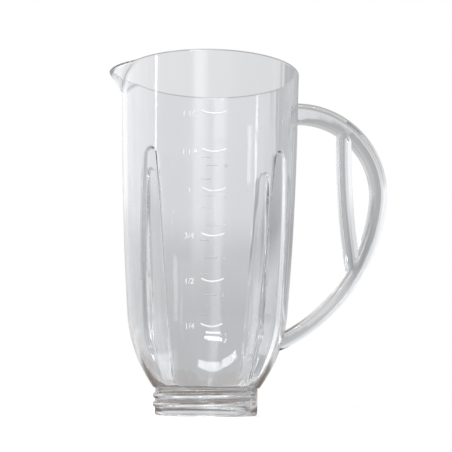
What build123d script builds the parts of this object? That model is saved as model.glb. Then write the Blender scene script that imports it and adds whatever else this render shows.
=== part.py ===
from build123d import *
import os
from math import cos, radians, sin

# Blender jar, moulded in one piece from clear plastic: bowl, spout, ribs, neck and handle.
# Frame: origin at the centre of the neck's bottom face, +Z up, handle towards +X, spout towards -X.
# All sizes are in millimetres.

# Bowl
jar_height = 232.0
rim_radius = 61.0
collar_length = 42.0
collar_taper = 1.0
belly_height = 67.0
belly_inset = 7.4
shoulder_step = 1.2
shoulder_drafts = 4
wall = 2.6
rim_chamfer = 0.8

# Neck, down to the root of its screw thread, and its bore
neck_radius = 33.9
neck_height = 17.9
neck_wall = 4.1
neck_chamfer = 1.8
bore_drop = 2.8

# Ribs inside the bowl
rib_depth = 4.5
rib_shoulder_depth = 3.6
rib_top_depth = 1.2
rib_top_gap = 18.5
rib_top_width = 9.6
rib_top_rise = 5.0
rib_width = 19.2
rib_widest_height = 58.0
rib_foot_width = 9.0
rib_foot_height = 25.0
rib_angle_from_handle = 41.0
rib_angle_from_spout = 45.0

# Spout
spout_overhang = 9.2
spout_radius = 38.0
spout_drop = 15.5

# Handle, drawn in the XZ plane
handle_width = 15.0
bow_radius = 61.2
bow_top_drop = 19.3
bow_join_angle = -6.0
bow_foot_inset = 9.6
bow_foot_drop = 26.2
root_thickness = 13.0
limb_thickness = 10.3
strut_thickness = 8.7
strut_top_angle = 54.4
strut_foot_angle = -31.6
strut_bow = 2.6
strut_corner = 1.5
edge_bevel = 2.8

collar_height = jar_height - collar_length
collar_radius = rim_radius - collar_taper
belly_radius = rim_radius - belly_inset
shoulder_foot_radius = neck_radius + shoulder_step
bore_radius = neck_radius - neck_wall
bore_top = neck_height - bore_drop
rib_top_height = collar_height - rib_top_gap
mid_wall = wall / 2

# Outside of the bowl in half section: straight collar, bowed barrel, shoulder in even drafts along an arc
with BuildSketch(Plane.XZ) as bowl_face:
    with BuildLine():
        collar = Line((rim_radius, jar_height), (collar_radius, collar_height))
        barrel = TangentArc(collar @ 1, (belly_radius, belly_height), tangent=collar % 1)
        shoulder = TangentArc(
            barrel @ 1,
            (shoulder_foot_radius, neck_height),
            tangent=barrel % 1,
            mode=Mode.PRIVATE,
        )
        drafts = [shoulder @ (step / shoulder_drafts) for step in range(shoulder_drafts + 1)]
        Polyline(*drafts, (0, neck_height), (0, jar_height), collar @ 0)
    make_face()
corners = [shoulder @ 0.5, barrel @ 1, collar @ 1, collar @ 0]


def core_face(foot, insets):
    """Half section of a core with straight drafts, set in from the outside at each corner of the bowl."""
    sides = [(corner.X - inset, corner.Y) for corner, inset in zip(corners, insets)]
    with BuildSketch(Plane.XZ) as face:
        with BuildLine():
            Polyline((0, foot[1]), foot, *sides, (0, jar_height), close=True)
        make_face()
    return face.sketch


def spout_cone(inset):
    """Rim circle of the spout, set in from its outside, and the point on the wall that it runs down to."""
    with BuildSketch(Plane.XY.offset(jar_height)) as rim_circle:
        with Locations((spout_radius - spout_overhang - rim_radius, 0)):
            Circle(spout_radius - inset)
    apex = Vertex(mid_wall + inset - rim_radius, 0, jar_height - spout_drop)
    return [rim_circle.sketch, apex]


def rib_leaf(angle):
    """Leaf-shaped outline of one rib, seen from the axis along the given direction."""
    outward = Vector(cos(radians(angle)), sin(radians(angle)), 0)
    with BuildSketch(Plane((0, 0, 0), x_dir=(-outward.Y, outward.X, 0), z_dir=outward)) as leaf:
        with BuildLine() as half:
            widest = (rib_width / 2, rib_widest_height)
            side = TangentArc(widest, (rib_top_width / 2, rib_top_height - rib_top_rise), tangent=(0, 1))
            foot = TangentArc(widest, (rib_foot_width / 2, rib_foot_height), tangent=(0, -1))
            mirror(half.line, Plane.YZ)
            Line(foot @ 1, (-rib_foot_width / 2, rib_foot_height))
            ThreePointArc(side @ 1, (0, rib_top_height), (-rib_top_width / 2, rib_top_height - rib_top_rise))
        make_face()
    return leaf.sketch


def polar(radius, angle):
    """Point at a radius and an angle from a centre, in the handle's plane."""
    return Vector(radius * cos(radians(angle)), radius * sin(radians(angle)))


def bow_face(limb_inset, root_inset):
    """Area within the bow of the handle, set in from its outside, back to a line inside the bowl."""
    foot_radius = foot_bow_radius - limb_inset
    foot_drop = (foot_radius**2 - (bow_foot.X - foot_bow_centre.X) ** 2) ** 0.5
    root = bow_centre + Vector(0, bow_radius - root_inset)
    foot = Vector(bow_foot.X, foot_bow_centre.Y - foot_drop)
    with BuildSketch(Plane.XZ) as face:
        with BuildLine():
            join = bow_centre + join_direction * (bow_radius - limb_inset)
            TangentArc(join, root, tangent=(-join_direction.Y, join_direction.X))
            TangentArc(join, foot, tangent=(join_direction.Y, -join_direction.X))
            Polyline(root, (bow_foot.X, root.Y), foot)
        make_face()
    return face.sketch


# Inside space: bowl, bore and the inside of the spout
with BuildPart() as inside:
    revolve(core_face((bore_radius, bore_top), [wall] * len(corners)), axis=Axis.Z)
    Cylinder(bore_radius, bore_top, align=(Align.CENTER, Align.CENTER, Align.MIN))
    loft(spout_cone(wall))

# Ribs: leaf outlines pushed out into the wall, cleared down to their crest surface
rib_fade = (rib_depth - rib_top_depth) / (rib_top_height - belly_height)
crest_insets = [wall + rib_depth - rib_fade * (corner.Y - belly_height) for corner in corners]
crest_insets[0] = wall + rib_shoulder_depth
foot_share = (rib_foot_height - bore_top) / (corners[0].Y - bore_top)
crest_foot_radius = bore_radius + foot_share * (corners[0].X - wall - bore_radius)
with BuildPart() as ribs:
    for rib_angle in (rib_angle_from_handle, 180 - rib_angle_from_spout):
        extrude(rib_leaf(rib_angle), amount=rim_radius)
        extrude(rib_leaf(-rib_angle), amount=rim_radius)
    revolve(
        core_face((bore_radius + mid_wall, bore_top), [mid_wall] * len(corners)),
        axis=Axis.Z,
        mode=Mode.INTERSECT,
    )
    revolve(
        core_face((crest_foot_radius, rib_foot_height), crest_insets),
        axis=Axis.Z,
        mode=Mode.SUBTRACT,
    )
    Cylinder(
        crest_foot_radius,
        rib_foot_height,
        align=(Align.CENTER, Align.CENTER, Align.MIN),
        mode=Mode.SUBTRACT,
    )

# Handle: a bowed limb from the collar to the shoulder, with a strut across it
join_direction = polar(1, bow_join_angle)
bow_centre = Vector(rim_radius, jar_height - bow_top_drop - bow_radius)
bow_join = bow_centre + join_direction * bow_radius
bow_foot = Vector(belly_radius - bow_foot_inset, belly_height - bow_foot_drop)
foot_chord = bow_foot - bow_join
foot_bow_radius = -foot_chord.dot(foot_chord) / foot_chord.dot(join_direction) / 2
foot_bow_centre = bow_join - join_direction * foot_bow_radius
strut_top = bow_centre + polar(bow_radius - limb_thickness / 2, strut_top_angle)
strut_foot = foot_bow_centre + polar(foot_bow_radius - limb_thickness / 2, strut_foot_angle)
half_strut = Vector(strut_thickness / 2, 0)
with BuildSketch(Plane.XZ) as strut:
    with BuildLine():
        grip_side = SagittaArc(strut_top - half_strut, strut_foot - half_strut, -strut_bow)
        window_side = SagittaArc(strut_top + half_strut, strut_foot + half_strut, -strut_bow)
        Line(grip_side @ 0, window_side @ 0)
        Line(grip_side @ 1, window_side @ 1)
    make_face()
with BuildSketch(Plane.XZ) as handle_face:
    add(bow_face(0, 0))
    add(bow_face(limb_thickness, root_thickness), mode=Mode.SUBTRACT)
    add(strut.sketch)
    crotches = handle_face.vertices().filter_by(
        lambda corner: strut.sketch_local.distance_to(corner) < strut_corner
    )
    fillet(crotches, strut_corner)
with BuildPart() as handle:
    extrude(handle_face.sketch, amount=handle_width / 2, both=True)
    side_edges = handle.faces().filter_by(Axis.Y).edges()
    buried_edges = side_edges.group_by(Axis.X)[0]
    chamfer(side_edges - buried_edges, edge_bevel)

# Jar
with BuildPart() as jar:
    revolve(bowl_face.sketch, axis=Axis.Z)
    loft(spout_cone(0))
    Cylinder(neck_radius, neck_height, align=(Align.CENTER, Align.CENTER, Align.MIN))
    chamfer(jar.edges().sort_by(Axis.Z)[0], neck_chamfer)
    add(handle.part)
    add(inside.part, mode=Mode.SUBTRACT)
    add(ribs.part)
    rim = jar.faces().sort_by(Axis.Z)[-1]
    chamfer(rim.edges(), rim_chamfer)

os.makedirs("parts", exist_ok=True)
jar.part.label = "jar"
export_step(jar.part, "parts/jar.step")
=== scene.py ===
from math import atan2, cos, hypot, pi, radians, sin

import bmesh
import bpy
import numpy as np
from mathutils import Matrix, Vector


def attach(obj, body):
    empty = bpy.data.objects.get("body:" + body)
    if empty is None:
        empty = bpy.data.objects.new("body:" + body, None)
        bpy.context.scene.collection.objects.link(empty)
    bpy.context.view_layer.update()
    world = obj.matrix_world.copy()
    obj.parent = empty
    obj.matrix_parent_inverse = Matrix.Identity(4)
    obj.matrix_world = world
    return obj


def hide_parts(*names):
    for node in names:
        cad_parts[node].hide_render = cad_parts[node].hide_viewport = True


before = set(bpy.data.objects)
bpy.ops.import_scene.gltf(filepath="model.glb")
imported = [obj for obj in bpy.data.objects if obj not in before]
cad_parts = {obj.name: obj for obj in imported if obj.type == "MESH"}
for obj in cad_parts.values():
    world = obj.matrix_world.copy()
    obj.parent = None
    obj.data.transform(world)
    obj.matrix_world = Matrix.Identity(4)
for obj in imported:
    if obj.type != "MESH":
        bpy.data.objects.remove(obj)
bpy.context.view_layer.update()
bpy.context.scene.view_settings.view_transform = "Standard"


# Wall of the jar: bowl, pouring spout, four mixing ribs and threaded neck, injection moulded in one shot
# from clear plastic. The inside is drawn off a core, so the ribs lean in and the wall is 2.6 mm thick.
# Sizes are in millimetres along the radius and the height until the mesh is made.
rim_height, rim_radius = 232.0, 61.0
collar_height, collar_radius = 190.0, 60.0
belly_height, belly_radius = 67.0, 53.6
neck_height, shoulder_foot_radius = 17.9, 35.1
wall = 2.6
neck_radius, bore_radius, bore_top = 33.9, 29.8, 15.1


def bow_through(start, inward, end):
    """Centre and radius of a bow of the half section, from a start that faces inward to an end point."""
    chord = np.subtract(end, start)
    radius = chord @ chord / (2 * chord @ inward)
    return start + radius * inward, radius


def bow_at(z, centre, radius):
    """Distance of a bow from the jar's axis at a height."""
    return centre[0] + np.sqrt(np.maximum(radius**2 - (z - centre[1]) ** 2, 0))


collar_draft = (rim_radius - collar_radius) / (rim_height - collar_height)
collar_inward = np.array([-1.0, collar_draft]) / hypot(1, collar_draft)
barrel = bow_through((collar_radius, collar_height), collar_inward, (belly_radius, belly_height))
belly_inward = (barrel[0] - (belly_radius, belly_height)) / barrel[1]
shoulder = bow_through((belly_radius, belly_height), belly_inward, (shoulder_foot_radius, neck_height))
inner_shoulder = bow_through((belly_radius - wall, belly_height), belly_inward, (bore_radius, bore_top))


def outside(z):
    """Outside radius of the bowl at a height."""
    collar = collar_radius + (z - collar_height) * collar_draft
    lower = np.where(z > belly_height, bow_at(z, *barrel), bow_at(z, *shoulder))
    return np.where(z > collar_height, collar, lower)


def inside(z):
    """Inside radius of the bowl and the bore at a height, without the ribs."""
    bowl = np.where(z > belly_height, outside(z) - wall, bow_at(z, *inner_shoulder))
    return np.where(z > bore_top, bowl, bore_radius)


def smooth_step(x):
    """Rise from 0 to 1 that starts and ends level."""
    x = np.clip(x, 0, 1)
    return x * x * (3 - 2 * x)


spout_drop, spout_radius, spout_centre = 15.5, 38.0, -32.2
spout_foot = rim_height - spout_drop
crease_least, crease_round, crease_rise = 0.01, 2.4, 5.0


def spout_radius_at(angle, z, inset):
    """Distance of the spout's cone from the jar's axis along an angle, 0 where it isn't reached."""
    share = (z - spout_foot) / spout_drop
    if share <= 0:
        return np.zeros_like(angle)
    tip = inset + wall / 2 - rim_radius
    centre = tip + share * (spout_centre - tip)
    reach = (spout_radius - inset) * share
    root = reach**2 - (centre * np.sin(angle)) ** 2
    return np.where(root > 0, centre * np.cos(angle) + np.sqrt(np.maximum(root, 0)), 0)


def with_spout(angle, z, bowl, inset):
    """Bowl and spout run together with a small round along their crease."""
    cone = spout_radius_at(angle, z, inset)
    crease = crease_least + crease_round * smooth_step((z - spout_foot) / crease_rise)
    near = np.maximum(crease - np.abs(bowl - cone), 0) / crease
    return np.maximum(bowl, cone) + near**2 * crease / 4


rib_angles = np.radians([41.0, 135.0, 225.0, 319.0])
rib_span = radians(16.0)
rib_edge, rib_foot = 1.3, 0.6
rib_widest_height, rib_widest_half = 58.0, 9.6
rib_upper_bow, rib_lower_bow = 1228.7, 109.3
rib_foot_height, rib_arch_height, rib_arch_rise = 25.0, 166.5, 5.0
rib_crest_heights, rib_crest_depths = [24.0, 41.2, belly_height, 171.5], [0.0, 3.6, 4.5, 1.4]
off_the_rib = 99.0


def rib_half_width(z):
    """Half width of a rib's leaf: widest low down, narrow at its rounded top and its foot."""
    bow = np.where(z > rib_widest_height, rib_upper_bow, rib_lower_bow)
    reach = np.clip(z, rib_foot_height, rib_arch_height) - rib_widest_height
    return rib_widest_half - (bow - np.sqrt(bow**2 - reach**2))


def rib_depth(z):
    """Height of a rib's crest above the inside wall, most at the belly."""
    return np.interp(z, rib_crest_heights, rib_crest_depths)


def with_ribs(angle, z, bowl):
    """Inside wall with the four ribs standing on it, their edges rounded and their tops arched."""
    raised = np.zeros_like(angle)
    for rib_angle in rib_angles:
        turn = (angle - rib_angle + pi) % (2 * pi) - pi
        across = np.where(np.abs(turn) < pi / 2, np.abs(bowl * np.sin(turn)), off_the_rib)
        within = rib_half_width(z) - across
        if z > rib_arch_height:
            half_width = rib_half_width(z)
            up_the_arch = (z - rib_arch_height) / rib_arch_rise
            within = half_width * (1 - np.hypot(across / half_width, up_the_arch))
        raised = np.maximum(raised, smooth_step((within + rib_foot) / (rib_edge + rib_foot)))
    return bowl - rib_depth(z) * raised


thread_start, thread_end, thread_run_out = radians(22), radians(338), radians(5)
thread_low, thread_low_turn, thread_pitch = 4.8, radians(24), 5.6
thread_rise, thread_half_base, thread_flank = 1.4, 2.3, 1.5


def thread_height(angle, z):
    """Height of the screw thread's two turns over the neck, which stop short of the handle's side."""
    turn = angle % (2 * pi)
    near_start = smooth_step((turn - thread_start) / thread_run_out)
    near_end = smooth_step((thread_end - turn) / thread_run_out)
    first = thread_low + thread_pitch * (turn - thread_low_turn) / (2 * pi)
    off_centre = np.minimum(np.abs(z - first), np.abs(z - first - thread_pitch))
    up_the_flank = smooth_step((thread_half_base - off_centre) / thread_flank)
    return thread_rise * (near_start * near_end) * up_the_flank


# Columns of the wall's mesh: close together on the ribs' edges and at the spout, wider between them
crest_columns, edge_columns, side_columns = 11, 7, 4
spout_spacing, plain_spacing = radians(1.15), radians(1.9)
spout_side = 1
rib_columns = [("crest", s) for s in np.linspace(-1, 1, crest_columns)]
rib_columns += [("edge", s) for s in np.linspace(0, 1, edge_columns + 1)[1:]]
rib_columns += [("side", s) for s in np.linspace(0, 1, side_columns + 1)[1:]]
rib_columns = [(zone, -s) for zone, s in rib_columns[:crest_columns - 1:-1]] + rib_columns
column_angle, column_rib, column_zone, column_share = [], [], [], []
for number, rib_angle in enumerate(rib_angles):
    spread = np.linspace(-rib_span, rib_span, len(rib_columns))
    for (zone, share), turn in zip(rib_columns, spread):
        column_angle.append(rib_angle + turn)
        column_rib.append(number)
        column_zone.append(zone)
        column_share.append(share)
    following = rib_angles[(number + 1) % 4] + (2 * pi if number == 3 else 0)
    start, stop = rib_angle + rib_span, following - rib_span
    steps = int((stop - start) / (spout_spacing if number == spout_side else plain_spacing))
    for turn in np.linspace(start, stop, steps + 1)[1:-1]:
        column_angle.append(turn)
        column_rib.append(-1)
        column_zone.append("plain")
        column_share.append(0.0)
column_angle = np.array(column_angle)
follow_from, follow_from_fade = 15.0, 8.0
follow_to, follow_to_fade = 192.0, 16.0


def rib_following_angles(z):
    """Angles of the columns inside the bowl, which run along the edges of the leaves."""
    radius = float(inside(z))
    half_width = float(rib_half_width(z))
    angles = column_angle.copy()
    for i, (number, zone, share) in enumerate(zip(column_rib, column_zone, column_share)):
        if number < 0:
            continue
        side = np.sign(share)
        if zone == "crest":
            across = share * (half_width - rib_edge)
        elif zone == "edge":
            across = side * (half_width - rib_edge + abs(share) * (rib_edge + rib_foot))
        else:
            reach = half_width + rib_foot
            across = side * (reach + abs(share) * (radius * sin(rib_span) - reach))
        angles[i] = rib_angles[number] + np.arcsin(across / radius)
    above_foot = smooth_step((z - follow_from) / follow_from_fade)
    below_top = smooth_step((follow_to - z) / follow_to_fade)
    return column_angle + above_foot * below_top * (angles - column_angle)


# Rows of the wall's mesh, down the outside from the rim and up again through the bore and the bowl
rows = []
rim_round, ledge_round, foot_round, bore_round = 0.8, 0.3, 1.9, 0.6
rim_foot = rim_height - rim_round
spout_rows = np.linspace(230.4, 214.0, 24)
under_spout_outside, under_spout_inside = 211.0, 212.0
thread_top, bore_foot, bore_head = neck_height - 0.1, 2.5, bore_top - 0.4
under_ribs, rib_feet, under_rib_tops, rib_tops, over_ribs = 23.0, 23.5, 162.0, 173.0, 175.0
for turn in np.linspace(90, 0, 6):
    edge = with_spout(column_angle, rim_foot, outside(rim_foot), 0)
    height = rim_height - rim_round * (1 - sin(radians(turn)))
    rows.append((column_angle, edge - rim_round * (1 - cos(radians(turn))), height))
outside_heights = np.concatenate([
    spout_rows,
    np.linspace(under_spout_outside, collar_height, 8),
    np.linspace(collar_height, belly_height, 26)[1:],
    np.linspace(belly_height, neck_height + ledge_round, 30)[1:],
])
for height in outside_heights:
    bowl = with_spout(column_angle, height, outside(height), 0)
    rows.append((column_angle, bowl, height))
for turn in np.linspace(0, 90, 4):
    ledge = shoulder_foot_radius - ledge_round * (1 - cos(radians(turn)))
    height = neck_height + ledge_round * (1 - sin(radians(turn)))
    rows.append((column_angle, np.full_like(column_angle, ledge), height))
for height in np.linspace(thread_top, foot_round, 46):
    neck = neck_radius + thread_height(column_angle, height)
    rows.append((column_angle, neck, height))
for turn in np.linspace(0, 90, 7)[1:]:
    edge = neck_radius - foot_round * (1 - cos(radians(turn)))
    height = foot_round * (1 - sin(radians(turn)))
    rows.append((column_angle, np.full_like(column_angle, edge), height))
for turn in np.linspace(90, 0, 5):
    edge = bore_radius + bore_round * (1 - cos(radians(turn)))
    height = bore_round * (1 - sin(radians(turn)))
    rows.append((column_angle, np.full_like(column_angle, edge), height))
inside_heights = np.concatenate([
    np.linspace(bore_foot, bore_head, 6),
    np.linspace(bore_top, under_ribs, 8),
    np.linspace(rib_feet, belly_height, 26),
    np.linspace(belly_height, under_rib_tops, 26)[1:],
    np.linspace(under_rib_tops, rib_tops, 24)[1:],
    np.linspace(over_ribs, under_spout_inside, 14),
    spout_rows[::-1],
])
for height in inside_heights:
    angles = rib_following_angles(height)
    bowl = with_ribs(angles, height, with_spout(angles, height, inside(height), wall))
    rows.append((angles, bowl, height))
for turn in np.linspace(0, 90, 6):
    edge = with_spout(column_angle, rim_foot, inside(rim_foot), wall)
    height = rim_height - rim_round * (1 - sin(radians(turn)))
    rows.append((column_angle, edge + rim_round * (1 - cos(radians(turn))), height))


millimetre = 0.001


def mesh_piece(name, points, faces):
    """Object with a mesh of its own, made from points in millimetres."""
    mesh = bpy.data.meshes.new(name)
    mesh.from_pydata([tuple(point) for point in np.asarray(points) * millimetre], [], faces)
    mesh.update()
    piece = bpy.data.objects.new(name, mesh)
    bpy.context.scene.collection.objects.link(piece)
    return piece


wall_points = []
for angles, radii, height in rows:
    heights = np.full_like(angles, height)
    wall_points.append(np.stack([radii * np.cos(angles), radii * np.sin(angles), heights], 1))
columns = len(column_angle)
wall_faces = []
for row in range(len(rows)):
    below = (row + 1) % len(rows)
    for column in range(columns):
        beside = (column + 1) % columns
        wall_faces.append((
            row * columns + column,
            below * columns + column,
            below * columns + beside,
            row * columns + beside,
        ))
jar = mesh_piece("jar_body", np.concatenate(wall_points), wall_faces)


# Handle: a solid bowed bar of the same shot of plastic, from the collar to the shoulder, with a thinner
# strut across it that the fingers close on. Both have well rounded edges, and the bar is thicker at its
# upper root. The ends run into the wall, where they are one with it.
handle_width, handle_round = 15.0, 2.7
bow_centre, bow_radius = np.array([61.0, 151.5]), 61.2
bow_thickness, root_thickness = 10.3, 13.0
foot_angle, join_angle, root_angle = -72, -6, 90
clear_share, join_share, root_share, root_pace = 0.3, 0.45, 0.9, 110.0
join = np.array([cos(radians(join_angle)), sin(radians(join_angle))])
foot_radius = 127.4
foot_centre = bow_centre - join * (foot_radius - bow_radius)
grip_root = np.array([bow_centre[0], bow_centre[1] + bow_radius - root_thickness])
grip_centre, grip_radius = bow_through(bow_centre + join * (bow_radius - bow_thickness), -join, grip_root)
grip_turn = atan2(grip_root[1] - grip_centre[1], grip_root[0] - grip_centre[0])


def bow_section(share):
    """Outer and inner point of the handle's bar in its own plane, from its foot at 0 to its root at 1."""
    if share < join_share:
        turn = radians(foot_angle + (join_angle - foot_angle) * share / join_share)
        direction = np.array([cos(turn), sin(turn)])
        inner_radius = foot_radius - bow_thickness
        return foot_centre + direction * foot_radius, foot_centre + direction * inner_radius
    if share < root_share:
        along = (share - join_share) / (root_share - join_share)
        turn = radians(join_angle + (root_angle - join_angle) * along)
        inner_turn = radians(join_angle) + (grip_turn - radians(join_angle)) * along
        outer = bow_centre + bow_radius * np.array([cos(turn), sin(turn)])
        return outer, grip_centre + grip_radius * np.array([cos(inner_turn), sin(inner_turn)])
    back = np.array([-root_pace * (share - root_share), 0.0])
    return bow_centre + (0, bow_radius) + back, grip_root + back


strut_foot_reach, strut_top_reach, strut_bow = 95.6, 89.2, 2.6
strut_foot_height, strut_top_height, strut_thickness = 94.0, 197.0, 8.7


def strut_section(share):
    """The two sides of the strut in the handle's plane, from its foot at 0 to its top at 1."""
    reach = strut_foot_reach + (strut_top_reach - strut_foot_reach) * share
    reach -= 4 * strut_bow * share * (1 - share)
    height = strut_foot_height + (strut_top_height - strut_foot_height) * share
    return np.array([reach + strut_thickness, height]), np.array([reach, height])


def bar_point(section, share, corner):
    """Point of a rounded bar's surface; a corner is its two sides and the turn of its round."""
    outer, inner = section(share)
    thickness = np.linalg.norm(outer - inner)
    direction = (outer - inner) / thickness
    radius = min(handle_round, thickness / 2)
    across = corner[0] * (thickness / 2 - radius) + radius * cos(corner[2])
    aside = corner[1] * (handle_width / 2 - radius) + radius * sin(corner[2])
    middle = (outer + inner) / 2 + direction * across
    return np.array([middle[0], aside, middle[1]])


round_points, halvings, bow_rings, strut_rings = 8, 40, 121, 41
bar_corners = []
for quarter, (across, aside) in enumerate(((1, 1), (-1, 1), (-1, -1), (1, -1))):
    for turn in np.linspace(0, pi / 2, round_points):
        bar_corners.append((across, aside, quarter * pi / 2 + turn))


def wall_crossing(corner, outer_share, inner_share):
    """Place along the handle's bar where one of its lines reaches the middle of the wall."""
    for _ in range(halvings):
        share = (outer_share + inner_share) / 2
        x, y, z = bar_point(bow_section, share, corner)
        if hypot(x, y) > outside(z) - wall / 2:
            outer_share = share
        else:
            inner_share = share
    return share


def bar_piece(name, section, shares):
    """Closed bar along its section; each corner line has its own first and last share."""
    points = []
    for ring in shares:
        points += [bar_point(section, share, corner) for share, corner in zip(ring, bar_corners)]
    count = len(bar_corners)
    faces = []
    for start in range(0, count * (len(shares) - 1), count):
        for i in range(count):
            j = (i + 1) % count
            faces.append((start + i, start + j, start + count + j, start + count + i))
    for ring, order in ((0, -1), (len(shares) - 1, 1)):
        middle = len(points)
        points.append(np.mean(points[ring * count:(ring + 1) * count], axis=0))
        for i in range(count):
            pair = (ring * count + i, ring * count + (i + 1) % count)[::order]
            faces.append((middle, *pair))
    piece = mesh_piece(name, points, faces)
    shape = bmesh.new()
    shape.from_mesh(piece.data)
    bmesh.ops.recalc_face_normals(shape, faces=shape.faces)
    shape.to_mesh(piece.data)
    shape.free()
    return piece


bow_feet = np.array([wall_crossing(corner, clear_share, 0.0) for corner in bar_corners])
bow_roots = np.array([wall_crossing(corner, root_share, 1.0) for corner in bar_corners])
bow_shares = [bow_feet + (bow_roots - bow_feet) * s for s in np.linspace(0, 1, bow_rings)]
handle_bow = bar_piece("handle_bow", bow_section, bow_shares)
strut_shares = [np.full(len(bar_corners), s) for s in np.linspace(0, 1, strut_rings)]
handle_strut = bar_piece("handle_strut", strut_section, strut_shares)

# The bars are united with the wall, as they leave the mould in one piece
for bar in (handle_bow, handle_strut):
    union = jar.modifiers.new(bar.name, "BOOLEAN")
    union.operation = "UNION"
    union.solver = "EXACT"
    union.object = bar
moulded = bpy.data.meshes.new_from_object(jar.evaluated_get(bpy.context.evaluated_depsgraph_get()))
jar.modifiers.clear()
jar.data = moulded
jar.data.name = "jar_body"
for bar in (handle_bow, handle_strut):
    bpy.data.objects.remove(bar)
for polygon in jar.data.polygons:
    polygon.use_smooth = True
sharp_edge = radians(38)
jar.data.set_sharp_from_angle(angle=sharp_edge)


# Clear plastic of the jar: a hard, glossy styrene type with a faint cool tint that deepens with the length
# of the light's way through it. The moulding left fine upright flow lines and a barely uneven polish.
plastic = bpy.data.materials.new("clear_moulded_plastic")
plastic.use_nodes = True
nodes, links = plastic.node_tree.nodes, plastic.node_tree.links
plastic_shader = nodes["Principled BSDF"]
plastic_shader.inputs["Base Color"].default_value = (0.975, 0.982, 0.992, 1)
plastic_shader.inputs["Transmission Weight"].default_value = 1.0
plastic_shader.inputs["IOR"].default_value = 1.52
place = nodes.new("ShaderNodeTexCoord")
flow_stretch = nodes.new("ShaderNodeMapping")
flow_stretch.inputs["Scale"].default_value = (1, 1, 0.03)
flow_lines = nodes.new("ShaderNodeTexNoise")
flow_lines.inputs["Scale"].default_value = 120.0
flow_lines.inputs["Detail"].default_value = 2.0
flow_bump = nodes.new("ShaderNodeBump")
flow_bump.inputs["Strength"].default_value = 0.10
flow_bump.inputs["Distance"].default_value = 0.001
polish = nodes.new("ShaderNodeTexNoise")
polish.inputs["Scale"].default_value = 45.0
polish.inputs["Detail"].default_value = 4.0
polish_range = nodes.new("ShaderNodeMapRange")
polish_range.inputs["To Min"].default_value = 0.0
polish_range.inputs["To Max"].default_value = 0.05
tint = nodes.new("ShaderNodeVolumeAbsorption")
tint.inputs["Color"].default_value = (0.30, 0.36, 0.42, 1)
tint.inputs["Density"].default_value = 5.0
links.new(place.outputs["Object"], flow_stretch.inputs["Vector"])
links.new(flow_stretch.outputs["Vector"], flow_lines.inputs["Vector"])
links.new(flow_lines.outputs["Fac"], flow_bump.inputs["Height"])
links.new(flow_bump.outputs["Normal"], plastic_shader.inputs["Normal"])
links.new(place.outputs["Object"], polish.inputs["Vector"])
links.new(polish.outputs["Fac"], polish_range.inputs["Value"])
links.new(polish_range.outputs["Result"], plastic_shader.inputs["Roughness"])
links.new(tint.outputs["Volume"], nodes["Material Output"].inputs["Volume"])
jar.data.materials.clear()
jar.data.materials.append(plastic)
jar.visible_shadow = False

# Light runs a long way inside the clear wall, along the ribs and the rim, before it comes out
wall_bounces = 48
bpy.context.scene.cycles.max_bounces = wall_bounces
bpy.context.scene.cycles.glossy_bounces = wall_bounces
bpy.context.scene.cycles.transmission_bounces = wall_bounces
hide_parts("jar")
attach(jar, "root")


# Measuring marks: low ridges moulded on the outside of the wall and left matt, so they show white. Litres
# are long bowed marks at the front; cups and half cups are finer marks on the far side.
frosted = bpy.data.materials.new("frosted_relief")
frosted.use_nodes = True
nodes, links = frosted.node_tree.nodes, frosted.node_tree.links
frosted_shader = nodes["Principled BSDF"]
frosted_shader.inputs["Transmission Weight"].default_value = 0.25
frosted_shader.inputs["IOR"].default_value = 1.52
place = nodes.new("ShaderNodeTexCoord")
matt_grain = nodes.new("ShaderNodeTexNoise")
matt_grain.inputs["Scale"].default_value = 900.0
matt_grain.inputs["Detail"].default_value = 3.0
matt_colour = nodes.new("ShaderNodeValToRGB")
matt_colour.color_ramp.elements[0].color = (0.80, 0.82, 0.84, 1)
matt_colour.color_ramp.elements[1].color = (0.97, 0.98, 0.99, 1)
matt_roughness = nodes.new("ShaderNodeMapRange")
matt_roughness.inputs["To Min"].default_value = 0.30
matt_roughness.inputs["To Max"].default_value = 0.55
links.new(place.outputs["Object"], matt_grain.inputs["Vector"])
links.new(matt_grain.outputs["Fac"], matt_colour.inputs["Fac"])
links.new(matt_grain.outputs["Fac"], matt_roughness.inputs["Value"])
links.new(matt_colour.outputs["Color"], frosted_shader.inputs["Base Color"])
links.new(matt_roughness.outputs["Result"], frosted_shader.inputs["Roughness"])

mark_tree = bpy.data.node_groups.new("measuring_marks", "GeometryNodeTree")
mark_tree.interface.new_socket("Geometry", in_out="INPUT", socket_type="NodeSocketGeometry")
mark_inputs = {}
for label, kind in (
    ("Jar", "NodeSocketObject"),
    ("Width", "NodeSocketFloat"),
    ("Rise", "NodeSocketFloat"),
    ("Ridge", "NodeSocketFloat"),
    ("Finish", "NodeSocketMaterial"),
):
    socket = mark_tree.interface.new_socket(label, in_out="INPUT", socket_type=kind)
    mark_inputs[label] = socket.identifier
mark_tree.interface.new_socket("Geometry", in_out="OUTPUT", socket_type="NodeSocketGeometry")
nodes, links = mark_tree.nodes, mark_tree.links
given = nodes.new("NodeGroupInput")
made = nodes.new("NodeGroupOutput")
half = nodes.new("ShaderNodeMath")
half.operation = "MULTIPLY"
half.inputs[1].default_value = 0.5
other_half = nodes.new("ShaderNodeMath")
other_half.operation = "MULTIPLY"
other_half.inputs[1].default_value = -0.5
first_end = nodes.new("ShaderNodeCombineXYZ")
last_end = nodes.new("ShaderNodeCombineXYZ")
stroke = nodes.new("GeometryNodeCurvePrimitiveLine")
stroke_points = nodes.new("GeometryNodeResampleCurve")
stroke_points.inputs["Count"].default_value = 29
along = nodes.new("GeometryNodeSplineParameter")
centred = nodes.new("ShaderNodeMath")
centred.operation = "MULTIPLY_ADD"
centred.inputs[1].default_value = 2.0
centred.inputs[2].default_value = -1.0
squared = nodes.new("ShaderNodeMath")
squared.operation = "MULTIPLY"
lift = nodes.new("ShaderNodeMath")
lift.operation = "MULTIPLY"
lift_up = nodes.new("ShaderNodeCombineXYZ")
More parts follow.
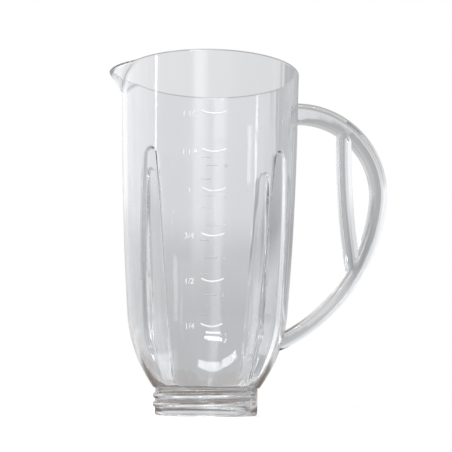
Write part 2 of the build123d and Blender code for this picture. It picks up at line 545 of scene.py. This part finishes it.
bowed = nodes.new("GeometryNodeSetPosition")
taper = nodes.new("ShaderNodeMath")
taper.operation = "POWER"
taper.inputs[1].default_value = 6.0
thickness = nodes.new("ShaderNodeMath")
thickness.operation = "MULTIPLY_ADD"
thickness.inputs[1].default_value = -0.75
thickness.inputs[2].default_value = 1.0
tapered = nodes.new("GeometryNodeSetCurveRadius")
station = nodes.new("GeometryNodeInputPosition")
level = nodes.new("ShaderNodeVectorMath")
level.operation = "MULTIPLY"
level.inputs[1].default_value = (1, 1, 0)
facing = nodes.new("FunctionNodeAlignRotationToVector")
facing.axis = "X"
facing.pivot_axis = "Z"
placed = nodes.new("GeometryNodeInstanceOnPoints")
realised = nodes.new("GeometryNodeRealizeInstances")
jar_surface = nodes.new("GeometryNodeObjectInfo")
inward = nodes.new("ShaderNodeVectorMath")
inward.operation = "MULTIPLY"
inward.inputs[1].default_value = (-1, -1, 0)
wall_hit = nodes.new("GeometryNodeRaycast")
wall_hit.inputs["Ray Length"].default_value = 0.1
on_wall = nodes.new("GeometryNodeSetPosition")
ridge_round = nodes.new("GeometryNodeCurvePrimitiveCircle")
ridge_round.inputs["Resolution"].default_value = 10
ridge = nodes.new("GeometryNodeCurveToMesh")
ridge.inputs["Fill Caps"].default_value = True
smooth = nodes.new("GeometryNodeSetShadeSmooth")
finish = nodes.new("GeometryNodeSetMaterial")
links.new(given.outputs["Width"], half.inputs[0])
links.new(given.outputs["Width"], other_half.inputs[0])
links.new(other_half.outputs["Value"], first_end.inputs["Y"])
links.new(half.outputs["Value"], last_end.inputs["Y"])
links.new(first_end.outputs["Vector"], stroke.inputs["Start"])
links.new(last_end.outputs["Vector"], stroke.inputs["End"])
links.new(stroke.outputs["Curve"], stroke_points.inputs["Curve"])
links.new(stroke_points.outputs["Curve"], bowed.inputs["Geometry"])
links.new(along.outputs["Factor"], centred.inputs[0])
links.new(centred.outputs["Value"], squared.inputs[0])
links.new(centred.outputs["Value"], squared.inputs[1])
links.new(squared.outputs["Value"], lift.inputs[0])
links.new(given.outputs["Rise"], lift.inputs[1])
links.new(lift.outputs["Value"], lift_up.inputs["Z"])
links.new(lift_up.outputs["Vector"], bowed.inputs["Offset"])
links.new(squared.outputs["Value"], taper.inputs[0])
links.new(taper.outputs["Value"], thickness.inputs[0])
links.new(bowed.outputs["Geometry"], tapered.inputs["Curve"])
links.new(thickness.outputs["Value"], tapered.inputs["Radius"])
links.new(station.outputs["Position"], level.inputs[0])
links.new(level.outputs["Vector"], facing.inputs["Vector"])
links.new(given.outputs["Geometry"], placed.inputs["Points"])
links.new(tapered.outputs["Curve"], placed.inputs["Instance"])
links.new(facing.outputs["Rotation"], placed.inputs["Rotation"])
links.new(placed.outputs["Instances"], realised.inputs["Geometry"])
links.new(given.outputs["Jar"], jar_surface.inputs["Object"])
links.new(station.outputs["Position"], inward.inputs[0])
links.new(jar_surface.outputs["Geometry"], wall_hit.inputs["Target Geometry"])
links.new(inward.outputs["Vector"], wall_hit.inputs["Ray Direction"])
links.new(realised.outputs["Geometry"], on_wall.inputs["Geometry"])
links.new(wall_hit.outputs["Hit Position"], on_wall.inputs["Position"])
links.new(on_wall.outputs["Geometry"], ridge.inputs["Curve"])
links.new(given.outputs["Ridge"], ridge_round.inputs["Radius"])
links.new(ridge_round.outputs["Curve"], ridge.inputs["Profile Curve"])
links.new(ridge.outputs["Mesh"], smooth.inputs["Geometry"])
links.new(smooth.outputs["Geometry"], finish.inputs["Geometry"])
links.new(given.outputs["Finish"], finish.inputs["Material"])
links.new(finish.outputs["Geometry"], made.inputs["Geometry"])


station_radius = 80.0


def mark_group(name, heights, angle, width, rise, ridge_radius):
    """One scale's marks: a station beside the wall at each height, with the tree's ridge on the wall."""
    x, y = station_radius * cos(radians(angle)), station_radius * sin(radians(angle))
    stations = [(x, y, height) for height in heights]
    marks = mesh_piece(name, stations, [])
    maker = marks.modifiers.new("marks", "NODES")
    maker.node_group = mark_tree
    maker[mark_inputs["Jar"]] = jar
    maker[mark_inputs["Width"]] = width * millimetre
    maker[mark_inputs["Rise"]] = rise * millimetre
    maker[mark_inputs["Ridge"]] = ridge_radius * millimetre
    maker[mark_inputs["Finish"]] = frosted
    shaped = marks.evaluated_get(bpy.context.evaluated_depsgraph_get())
    marks.data = bpy.data.meshes.new_from_object(shaped)
    marks.data.name = name
    marks.modifiers.clear()
    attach(marks, "root")


litre_heights = [189.9, 165.5, 140.6, 112.2, 83.9, 56.0]
cup_heights = [180.1, 157.3, 135.0, 110.8, 83.6]
half_cup_heights = [186.3, 169.8, 148.1, 124.0, 99.0, 69.0]
mark_group("litre_marks", litre_heights, angle=-91.0, width=20.6, rise=1.9, ridge_radius=0.55)
mark_group("cup_marks", cup_heights, angle=84.2, width=13.0, rise=0.3, ridge_radius=0.36)
mark_group("half_cup_marks", half_cup_heights, angle=88.9, width=10.0, rise=0.0, ridge_radius=0.30)


# Numbers beside the marks, moulded with the wall in the same matt relief. Litres read from the front, cups
# from the far side.
number_relief, number_thinning, merge_distance = 0.25, -0.02, 1e-7


def number_group(name, labels, heights, angle, size):
    """Plain numbers wrapped on the wall, each centred at a height and an angle round the jar."""
    points, faces = [], []
    for label, height in zip(labels, heights):
        line = bpy.data.curves.new(name, "FONT")
        line.body = label
        line.size = size
        line.align_x, line.align_y = "CENTER", "CENTER"
        line.extrude = number_relief
        line.resolution_u = 3
        line.offset = number_thinning
        sign = bpy.data.objects.new(name, line)
        bpy.context.scene.collection.objects.link(sign)
        bpy.context.view_layer.update()
        shaped = sign.evaluated_get(bpy.context.evaluated_depsgraph_get())
        flat = bpy.data.meshes.new_from_object(shaped)
        start = len(points)
        for vertex in flat.vertices:
            across, up, out = vertex.co
            radius = float(outside(height + up)) + out
            turn = radians(angle) + across / radius
            points.append((radius * cos(turn), radius * sin(turn), height + up))
        faces += [tuple(start + i for i in polygon.vertices) for polygon in flat.polygons]
        bpy.data.objects.remove(sign)
        bpy.data.meshes.remove(flat)
    numbers = mesh_piece(name, points, faces)
    shape = bmesh.new()
    shape.from_mesh(numbers.data)
    bmesh.ops.remove_doubles(shape, verts=shape.verts, dist=merge_distance)
    bmesh.ops.recalc_face_normals(shape, faces=shape.faces)
    shape.to_mesh(numbers.data)
    shape.free()
    numbers.data.materials.append(frosted)
    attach(numbers, "root")


litre_labels = ["1 1/2", "1 1/4", "1", "3/4", "1/2", "1/4"]
cup_labels = ["6", "5", "4", "3", "2"]
number_group("litre_numbers", litre_labels, litre_heights, angle=-106.0, size=5.0)
number_group("cup_numbers", cup_labels, cup_heights, angle=74.0, size=5.0)


# Floor: a plain pale studio table that the jar stands on. It takes the jar's shadow close by and runs
# out into the white of the backdrop. In the plastic it glows grey, with painted light brighter to the left
# and a painted brown shadow behind the foot that browns the neck.
bpy.ops.mesh.primitive_plane_add(size=8)
floor = bpy.context.object
floor.name = "floor"
floor_paint = bpy.data.materials.new("floor_paint")
floor_paint.use_nodes = True
nodes, links = floor_paint.node_tree.nodes, floor_paint.node_tree.links
floor_shader = nodes["Principled BSDF"]
floor_shader.inputs["Base Color"].default_value = (0.90, 0.90, 0.90, 1)
floor_shader.inputs["Roughness"].default_value = 0.8
floor_shader.inputs["Specular IOR Level"].default_value = 0.1
floor_white = nodes.new("ShaderNodeEmission")
floor_tone = nodes.new("ShaderNodeMix")
floor_tone.data_type = "RGBA"
floor_tone.inputs["A"].default_value = (1.0, 1.0, 1.0, 1)
# Painted shadow: for bent and mirrored rays the floor glows brown just behind the foot, then grey further
# out
floor_painted_shade_bands = nodes.new("ShaderNodeValToRGB")
bands = floor_painted_shade_bands.color_ramp
bands.elements[0].position = 0.12
bands.elements[0].color = (0.20, 0.165, 0.145, 1)
bands.elements[1].position = 0.60
bands.elements[1].color = (0.47, 0.45, 0.44, 1)
for reach in (0.17, 0.38):
    bands.elements.new(reach).color = (0.68, 0.67, 0.66, 1)
floor_place = nodes.new("ShaderNodeTexCoord")
floor_shade = nodes.new("ShaderNodeVectorMath")
floor_shade.operation = "DISTANCE"
floor_shade.inputs[1].default_value = (0.0, 0.12, 0.0)
floor_distance = nodes.new("ShaderNodeVectorMath")
floor_distance.operation = "LENGTH"
floor_split = nodes.new("ShaderNodeSeparateXYZ")
# Painted light: the floor's glow is made brighter towards the left
floor_painted_side_light = nodes.new("ShaderNodeMapRange")
floor_painted_side_light.inputs["From Min"].default_value = -0.6
floor_painted_side_light.inputs["From Max"].default_value = 0.0
floor_painted_side_light.inputs["To Min"].default_value = 1.8
floor_painted_side_light.inputs["To Max"].default_value = 1.0
floor_fade = nodes.new("ShaderNodeMapRange")
floor_fade.interpolation_type = "SMOOTHSTEP"
floor_fade.inputs["From Min"].default_value = 0.03
floor_fade.inputs["From Max"].default_value = 0.30
floor_rays = nodes.new("ShaderNodeLightPath")
floor_bent = nodes.new("ShaderNodeMath")
floor_bent.operation = "MAXIMUM"
floor_share = nodes.new("ShaderNodeMath")
floor_share.operation = "MULTIPLY"
floor_plain = nodes.new("ShaderNodeMath")
floor_plain.operation = "MAXIMUM"
floor_mix = nodes.new("ShaderNodeMixShader")
links.new(floor_place.outputs["Object"], floor_distance.inputs[0])
links.new(floor_distance.outputs["Value"], floor_fade.inputs["Value"])
links.new(floor_rays.outputs["Is Glossy Ray"], floor_bent.inputs[0])
links.new(floor_rays.outputs["Is Transmission Ray"], floor_bent.inputs[1])
links.new(floor_bent.outputs["Value"], floor_tone.inputs["Factor"])
links.new(floor_place.outputs["Object"], floor_shade.inputs[0])
links.new(floor_shade.outputs["Value"], floor_painted_shade_bands.inputs["Fac"])
links.new(floor_painted_shade_bands.outputs["Color"], floor_tone.inputs["B"])
links.new(floor_tone.outputs["Result"], floor_white.inputs["Color"])
links.new(floor_place.outputs["Object"], floor_split.inputs["Vector"])
links.new(floor_split.outputs["X"], floor_painted_side_light.inputs["Value"])
links.new(floor_painted_side_light.outputs["Result"], floor_white.inputs["Strength"])
links.new(floor_fade.outputs["Result"], floor_share.inputs[0])
links.new(floor_rays.outputs["Is Camera Ray"], floor_share.inputs[1])
links.new(floor_share.outputs["Value"], floor_plain.inputs[0])
links.new(floor_bent.outputs["Value"], floor_plain.inputs[1])
links.new(floor_plain.outputs["Value"], floor_mix.inputs["Fac"])
links.new(floor_shader.outputs["BSDF"], floor_mix.inputs[1])
links.new(floor_white.outputs["Emission"], floor_mix.inputs[2])
links.new(floor_mix.outputs["Shader"], nodes["Material Output"].inputs["Surface"])
floor.data.materials.append(floor_paint)


# Backdrop: a white studio that is plain white behind the jar. What the plastic bends and mirrors is the
# room around it: a soft grey, lighter upwards and at the left, darker behind the handle and at the right,
# where it draws the lines along the edges, with a glow in front that makes the pale upright band.
studio = bpy.data.worlds.new("studio")
bpy.context.scene.world = studio
studio.use_nodes = True
nodes, links = studio.node_tree.nodes, studio.node_tree.links
backdrop = nodes["Background"]
backdrop.inputs["Color"].default_value = (1, 1, 1, 1)
room = nodes.new("ShaderNodeBackground")
room.inputs["Strength"].default_value = 1.37
room_direction = nodes.new("ShaderNodeTexCoord")
room_height = nodes.new("ShaderNodeSeparateXYZ")
room_tone = nodes.new("ShaderNodeValToRGB")
tones = room_tone.color_ramp
tones.elements[0].position = 0.0
tones.elements[0].color = (0.55, 0.55, 0.555, 1)
tones.elements[1].position = 0.30
tones.elements[1].color = (0.775, 0.777, 0.785, 1)
for height, grey in ((0.04, 0.56), (0.115, 0.60), (0.150, 0.75)):
    tones.elements.new(height).color = (grey, grey, grey * 1.01, 1)
room_turn = nodes.new("ShaderNodeMath")
room_turn.operation = "ARCTAN2"
room_share = nodes.new("ShaderNodeMapRange")
room_share.inputs["From Min"].default_value = -pi
room_share.inputs["From Max"].default_value = pi

# Greys round the room by bearing in degrees, 0 towards the handle and 90 behind the jar. Behind the jar they
# differ low down and high up.
front_and_right = (
    (-150, 0.85), (-125, 0.70), (-90, 0.70), (-72, 0.64), (-52, 0.30), (-12, 0.24), (2, 0.62), (28, 0.62),
)
low_behind = (
    (40, 0.44), (54, 0.56), (74, 0.86), (80.4, 0.94), (81.6, 0.64), (90, 0.69), (96, 0.84), (102, 0.98),
)
high_behind = (
    (40, 0.48), (54, 0.54), (70, 0.44), (79.3, 0.42), (80.4, 0.74), (82, 0.74), (90, 0.72), (96, 0.86),
    (102, 1.0),
)
behind_left = ((112, 1.0), (126, 1.0), (142, 0.94))
spout_grey = (0.90, 0.90, 0.90, 1)
room_sides = []
for behind in (low_behind, high_behind):
    side = nodes.new("ShaderNodeValToRGB")
    for bearing, grey in front_and_right + behind + behind_left:
        side.color_ramp.elements.new((bearing + 180) / 360).color = (grey, grey, grey, 1)
    side.color_ramp.elements[0].color = spout_grey
    side.color_ramp.elements[-1].color = spout_grey
    room_sides.append(side)
room_rise = nodes.new("ShaderNodeMapRange")
room_rise.inputs["From Min"].default_value = 0.06
room_rise.inputs["From Max"].default_value = 0.11
room_side = nodes.new("ShaderNodeMix")
room_side.data_type = "RGBA"
glow_off = nodes.new("ShaderNodeMath")
glow_off.operation = "ADD"
glow_off.inputs[1].default_value = radians(107)
glow_side = nodes.new("ShaderNodeMath")
glow_side.operation = "ABSOLUTE"
glow_edge = nodes.new("ShaderNodeMapRange")
glow_edge.interpolation_type = "SMOOTHSTEP"
glow_edge.inputs["From Min"].default_value = radians(14)
glow_edge.inputs["From Max"].default_value = radians(2)
glow_edge.inputs["To Max"].default_value = 1.1
glow_rise = nodes.new("ShaderNodeMapRange")
glow_rise.inputs["From Min"].default_value = -0.05
glow_rise.inputs["From Max"].default_value = 0.22
glow_rise.inputs["To Min"].default_value = 0.3
glow_level = nodes.new("ShaderNodeMath")
glow_level.operation = "MULTIPLY"
room_lit = nodes.new("ShaderNodeMix")
room_lit.data_type = "RGBA"
room_lit.blend_type = "ADD"
room_lit.inputs["Factor"].default_value = 1.0
room_shaded = nodes.new("ShaderNodeMix")
room_shaded.data_type = "RGBA"
room_shaded.blend_type = "MULTIPLY"
room_shaded.inputs["Factor"].default_value = 1.0
room_rays = nodes.new("ShaderNodeLightPath")
room_bent = nodes.new("ShaderNodeMath")
room_bent.operation = "MAXIMUM"
room_mix = nodes.new("ShaderNodeMixShader")
links.new(room_direction.outputs["Generated"], room_height.inputs["Vector"])
links.new(room_height.outputs["Z"], room_tone.inputs["Fac"])
links.new(room_height.outputs["Y"], room_turn.inputs[0])
links.new(room_height.outputs["X"], room_turn.inputs[1])
links.new(room_turn.outputs["Value"], room_share.inputs["Value"])
for side, entry in zip(room_sides, ("A", "B")):
    links.new(room_share.outputs["Result"], side.inputs["Fac"])
    links.new(side.outputs["Color"], room_side.inputs[entry])
links.new(room_height.outputs["Z"], room_rise.inputs["Value"])
links.new(room_rise.outputs["Result"], room_side.inputs["Factor"])
links.new(room_tone.outputs["Color"], room_shaded.inputs["A"])
links.new(room_side.outputs["Result"], room_shaded.inputs["B"])
links.new(room_turn.outputs["Value"], glow_off.inputs[0])
links.new(glow_off.outputs["Value"], glow_side.inputs[0])
links.new(glow_side.outputs["Value"], glow_edge.inputs["Value"])
links.new(room_height.outputs["Z"], glow_rise.inputs["Value"])
links.new(glow_edge.outputs["Result"], glow_level.inputs[0])
links.new(glow_rise.outputs["Result"], glow_level.inputs[1])
links.new(room_shaded.outputs["Result"], room_lit.inputs["A"])
links.new(glow_level.outputs["Value"], room_lit.inputs["B"])
links.new(room_lit.outputs["Result"], room.inputs["Color"])
links.new(room_rays.outputs["Is Glossy Ray"], room_bent.inputs[0])
links.new(room_rays.outputs["Is Transmission Ray"], room_bent.inputs[1])
links.new(room_bent.outputs["Value"], room_mix.inputs["Fac"])
links.new(backdrop.outputs["Background"], room_mix.inputs[1])
links.new(room.outputs["Background"], room_mix.inputs[2])
links.new(room_mix.outputs["Shader"], nodes["World Output"].inputs["Surface"])


# Lamps: soft boxes of a product table. Strips at the left and the right draw the long upright highlights,
# two over the camera the short bright patches, one overhead and turned the crescent in the shoulder, and
# one behind, which the plastic itself doesn't show, lights the far marks.
jar_middle = Vector((0, 0, 0.12))
white, cool_white, warm_white = (1.0, 1.0, 1.0), (0.97, 0.985, 1.0), (1.0, 0.995, 0.98)


def soft_box(name, place, size, power, colour):
    """Rectangular lamp that faces the middle of the jar."""
    light = bpy.data.lights.new(name, "AREA")
    light.shape = "RECTANGLE"
    light.size, light.size_y = size
    light.energy = power
    light.color = colour
    lamp = bpy.data.objects.new(name, light)
    lamp.location = place
    lamp.rotation_euler = (jar_middle - Vector(place)).to_track_quat("-Z", "Y").to_euler()
    bpy.context.scene.collection.objects.link(lamp)
    return lamp


soft_box("front_box", place=(-0.42, -1.55, 0.815), size=(0.80, 0.05), power=2.2, colour=white)
soft_box("upper_box", place=(-0.42, -1.55, 0.99), size=(0.95, 0.11), power=3.6, colour=white)
soft_box("left_strip", place=(-1.455, -0.36, 0.57), size=(0.09, 0.34), power=0.5, colour=cool_white)
soft_box("right_strip", place=(1.115, -1.0, 0.38), size=(0.15, 0.16), power=0.12, colour=white)
top_box = soft_box("top_box", place=(-0.5, -0.85, 1.36), size=(1.8, 0.24), power=8.0, colour=white)
top_box_turn = radians(16)
top_box.rotation_euler.rotate_axis("Z", top_box_turn)
back_box = soft_box("back_box", place=(0.3, 1.1, 1.5), size=(0.7, 0.5), power=5.0, colour=warm_white)
back_box.visible_glossy = False
back_box.visible_transmission = False


# Camera: low in front of the neck and tilted up, so that the mouth is seen from below its rim, with the
# handle to the right and the spout to the left
camera_distance, camera_height = 0.7172, 0.0242
camera_tilt, camera_roll = radians(8.132), radians(-0.635)
camera_turn, camera_yaw = radians(-3.771), radians(0.942)
heading = camera_turn - camera_yaw
forward_flat = Vector((-sin(heading), cos(heading), 0))
right_flat = Vector((cos(heading), sin(heading), 0))
forward = forward_flat * cos(camera_tilt) + Vector((0, 0, 1)) * sin(camera_tilt)
upward = Vector((0, 0, 1)) * cos(camera_tilt) - forward_flat * sin(camera_tilt)
right = right_flat * cos(camera_roll) - upward * sin(camera_roll)
upward = right_flat * sin(camera_roll) + upward * cos(camera_roll)
lens = bpy.data.cameras.new("camera")
lens.sensor_fit = "HORIZONTAL"
lens.sensor_width = 36.0
lens.lens = 84.95
camera = bpy.data.objects.new("camera", lens)
camera.matrix_world = Matrix((right, upward, -forward)).transposed().to_4x4()
camera.location = (camera_distance * sin(camera_turn), -camera_distance * cos(camera_turn), camera_height)
bpy.context.scene.collection.objects.link(camera)
bpy.context.scene.camera = camera
